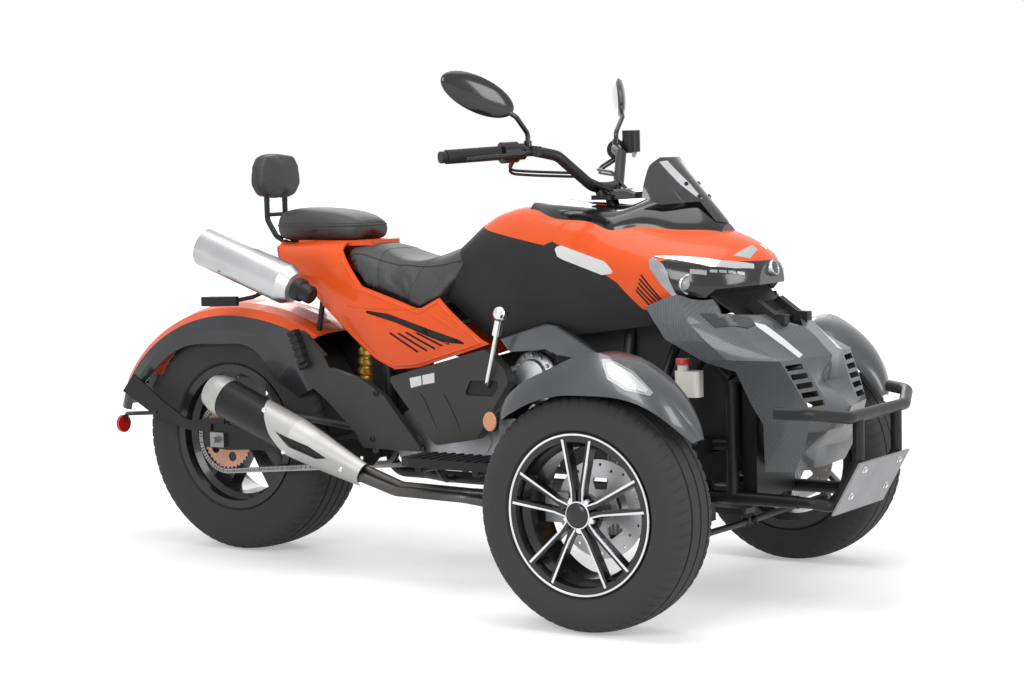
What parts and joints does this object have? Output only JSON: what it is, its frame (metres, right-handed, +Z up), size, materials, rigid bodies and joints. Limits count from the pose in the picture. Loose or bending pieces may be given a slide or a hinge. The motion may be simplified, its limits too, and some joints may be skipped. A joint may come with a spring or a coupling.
{
  "type": "three wheeled car",
  "caption": "Reverse trike with two steered front wheels, one wide rear wheel, handlebar, screen, tandem seat and backrest.",
  "frame": {"origin": "centre of the bounding box on the ground", "axes": "+X forward, +Y to the left, +Z up"},
  "size_m": [2.447, 1.2704, 1.3319],
  "materials": {
    "tyre_rubber": "black moulded rubber",
    "rim_black": "black alloy with machined edges",
    "disc_steel": "turned steel",
    "cast_grey": "cast alloy",
    "fender_gunmetal": "gunmetal metallic paint",
    "rod_steel": "plated steel",
    "frame_black": "satin black paint",
    "grip_rubber": "ribbed rubber",
    "plastic_black": "grained black plastic",
    "mirror_black": "gloss black shell",
    "chain_steel": "oiled steel",
    "orange_paint": "gloss orange paint",
    "arch_grey": "dark grey moulding",
    "lamp_clear": "clear lens",
    "weave_grey": "dark woven print",
    "screen_smoke": "smoked clear plastic",
    "lamp_red": "red lens",
    "seat_cover": "black seat cover",
    "engine_alloy": "cast alloy",
    "pipe_steel": "ribbed steel",
    "muffler_black": "satin black can",
    "muffler_bright": "brushed steel",
    "bottle_white": "milky white plastic",
    "shock_gold": "gold spring and body"
  },
  "bodies": {
    "root": {"backrest_frame": "frame_black", "backrest_pad": "seat_cover", "bonnet": "orange_paint", "canister_inlets": "plastic_black", "coolant_bottle": "bottle_white", "dash_cowl": "plastic_black", "drive_chain": "chain_steel", "engine": "engine_alloy", "exhaust_pipe": "pipe_steel", "fascia": "weave_grey", "fender_arches": "arch_grey", "fender_stays": "frame_black", "foot_rests": "grip_rubber", "front_bumper": "frame_black", "gear_lever": "rod_steel", "headlamps": "lamp_clear", "inner_panels": "plastic_black", "lower_covers": "plastic_black", "lower_muffler": "muffler_black", "main_frame": "frame_black", "muffler_shields": "muffler_bright", "nose_grille": "plastic_black", "nose_panel": "mirror_black", "pillion_seat": "seat_cover", "radiator": "frame_black", "rear_axle": "rod_steel", "rear_fender": "orange_paint", "rider_seat": "seat_cover", "shock_absorbers": "shock_gold", "side_covers": "plastic_black", "skid_plate": "muffler_bright", "suspension_arms": "frame_black", "swingarm": "frame_black", "tail_lights": "lamp_red", "tail_panels": "orange_paint", "turn_signals": "plastic_black", "upper_canisters": "muffler_bright", "windscreen": "screen_smoke"},
    "steering": {"steering_column": "frame_black", "handlebar": "frame_black", "grips": "grip_rubber", "hand_controls": "plastic_black", "mirrors": "mirror_black"},
    "knuckle_right": {"knuckle_right": "cast_grey", "front_fender_right": "fender_gunmetal"},
    "knuckle_left": {"knuckle_left": "cast_grey", "front_fender_left": "fender_gunmetal"},
    "wheel_front_right": {"front_tyre_right": "tyre_rubber", "front_rim_right": "rim_black", "brake_disc_right": "disc_steel"},
    "wheel_front_left": {"front_tyre_left": "tyre_rubber", "front_rim_left": "rim_black", "brake_disc_left": "disc_steel"},
    "wheel_rear": {"rear_tyre": "tyre_rubber", "rear_rim": "rim_black", "rear_sprocket": "chain_steel", "rear_brake_disc": "disc_steel"},
    "tie_rod_right": {"tie_rod_right": "rod_steel"},
    "tie_rod_left": {"tie_rod_left": "rod_steel"}
  },
  "joints": [
    {"name": "handlebar_steering", "type": "hinge", "parent": "root", "child": "steering", "pos_m": [0.73983, 0, 0.216], "axis": [-0.3305, 0, 0.9438], "range_deg": [-32, 32]},
    {"name": "kingpin_right", "type": "hinge", "parent": "root", "child": "knuckle_right", "pos_m": [0.7235, -0.44, 0.284], "axis": [0, 0, 1], "range_deg": [-26, 26]},
    {"name": "front_wheel_right", "type": "hinge", "parent": "knuckle_right", "child": "wheel_front_right", "pos_m": [0.7235, -0.533, 0.284], "axis": [0, 1, 0], "continuous": true},
    {"name": "tie_rod_pivot_right", "type": "hinge", "parent": "steering", "child": "tie_rod_right", "pos_m": [0.85275, -0.022, 0.18957], "axis": [-0.3305, 0, 0.9438], "range_deg": [-34, 34]},
    {"name": "kingpin_left", "type": "hinge", "parent": "root", "child": "knuckle_left", "pos_m": [0.7235, 0.44, 0.284], "axis": [0, 0, 1], "range_deg": [-26, 26]},
    {"name": "front_wheel_left", "type": "hinge", "parent": "knuckle_left", "child": "wheel_front_left", "pos_m": [0.7235, 0.533, 0.284], "axis": [0, 1, 0], "continuous": true},
    {"name": "tie_rod_pivot_left", "type": "hinge", "parent": "steering", "child": "tie_rod_left", "pos_m": [0.85275, 0.022, 0.18957], "axis": [-0.3305, 0, 0.9438], "range_deg": [-34, 34]},
    {"name": "rear_wheel", "type": "hinge", "parent": "root", "child": "wheel_rear", "pos_m": [-0.7585, 0, 0.332], "axis": [0, 1, 0], "continuous": true}
  ],
  "couplings": [
    {"joint": "kingpin_right", "follows": "handlebar_steering", "ratio": 0.8},
    {"joint": "tie_rod_pivot_right", "follows": "handlebar_steering", "ratio": -1.0526},
    {"joint": "kingpin_left", "follows": "handlebar_steering", "ratio": 0.8},
    {"joint": "tie_rod_pivot_left", "follows": "handlebar_steering", "ratio": -1.0526}
  ]
}
